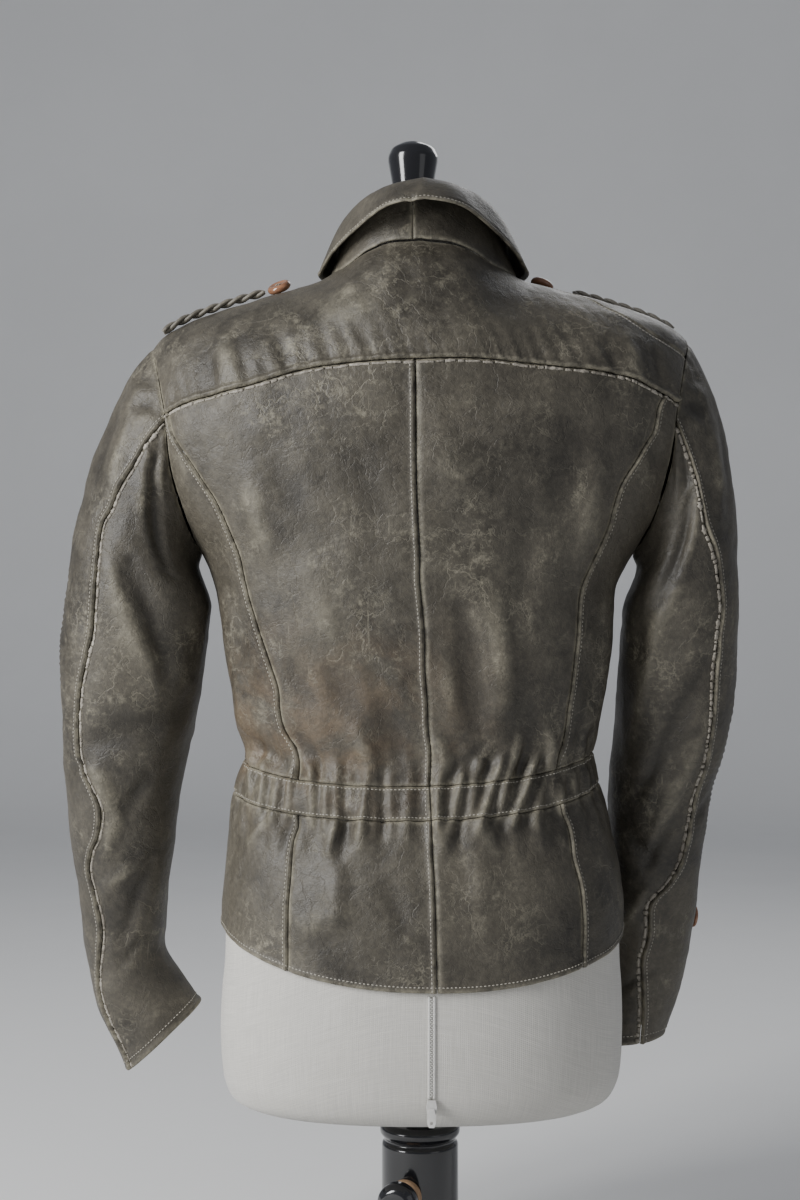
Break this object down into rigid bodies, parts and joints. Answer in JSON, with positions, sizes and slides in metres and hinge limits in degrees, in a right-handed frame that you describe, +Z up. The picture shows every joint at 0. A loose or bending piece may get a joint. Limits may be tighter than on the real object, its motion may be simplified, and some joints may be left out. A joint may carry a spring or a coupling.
{
  "type": "worn leather jacket on a limbless dress form",
  "caption": "Waisted leather jacket with a turned-down collar, braided shoulders and a gathered waist, filled out on a linen dress form with a turned stand.",
  "frame": {"origin": "on the floor, at the centre of the round base under the column", "axes": "+Z up; the jacket's back faces -Y; +X is the wearer's right"},
  "size_m": [0.5775, 0.31, 0.9893],
  "materials": {
    "leather": "worn matt leather with pale scuffs and raw seam edges",
    "button": "polished brown wood",
    "linen": "fine plain-weave linen, stretched",
    "lacquer": "glossy black lacquer on turned wood",
    "raw_wood": "bare pale wood",
    "base_iron": "satin black paint",
    "zip_tape": "white woven tape with a closed coil",
    "zip_metal": "white enamelled die-cast metal"
  },
  "bodies": {
    "stand": {"stand_base": "base_iron", "stand_column": "lacquer", "clamp_boss": "raw_wood"},
    "clamp": {"clamp_knob": "lacquer"},
    "pole": {"form_pole": "lacquer"},
    "form": {"back_centre_left": "leather", "back_centre_right": "leather", "back_side_left": "leather", "back_side_right": "leather", "waistband_back_left": "leather", "waistband_back_right": "leather", "skirt_centre_left": "leather", "skirt_centre_right": "leather", "skirt_side_left": "leather", "skirt_side_right": "leather", "yoke": "leather", "front_left": "leather", "front_right": "leather", "waistband_front_left": "leather", "skirt_front_left": "leather", "waistband_front_right": "leather", "skirt_front_right": "leather", "sleeve_left_upper": "leather", "sleeve_left_under": "leather", "sleeve_right_upper": "leather", "sleeve_right_under": "leather", "collar_stand_left": "leather", "collar_stand_right": "leather", "collar_fall": "leather", "braid_left": "leather", "braid_right": "leather", "shoulder_button_left": "button", "shoulder_button_right": "button", "front_button_1": "button", "front_button_2": "button", "front_button_3": "button", "front_button_4": "button", "front_button_5": "button", "front_button_6": "button", "cuff_button_left": "button", "cuff_button_right": "button", "form_body": "linen", "neck_knob": "lacquer", "form_zip": "zip_tape", "form_zip_slider": "zip_metal"},
    "zip_pull": {"form_zip_pull": "zip_metal"}
  },
  "joints": [
    {"name": "form_height", "type": "slide", "parent": "stand", "child": "pole", "axis": [0, 0, 1], "range_m": [0, 0.08]},
    {"name": "form_turn", "type": "hinge", "parent": "pole", "child": "form", "pos_m": [0, 0, 0.17], "axis": [0, 0, 1], "continuous": true},
    {"name": "clamp_turn", "type": "hinge", "parent": "stand", "child": "clamp", "pos_m": [0, 0, 0.104], "axis": [-0.342, -0.9397, 0], "continuous": true},
    {"name": "zip_pull_swing", "type": "hinge", "parent": "form", "child": "zip_pull", "pos_m": [0.008, -0.115, 0.199], "axis": [-1, 0, 0], "range_deg": [0, 75]}
  ]
}
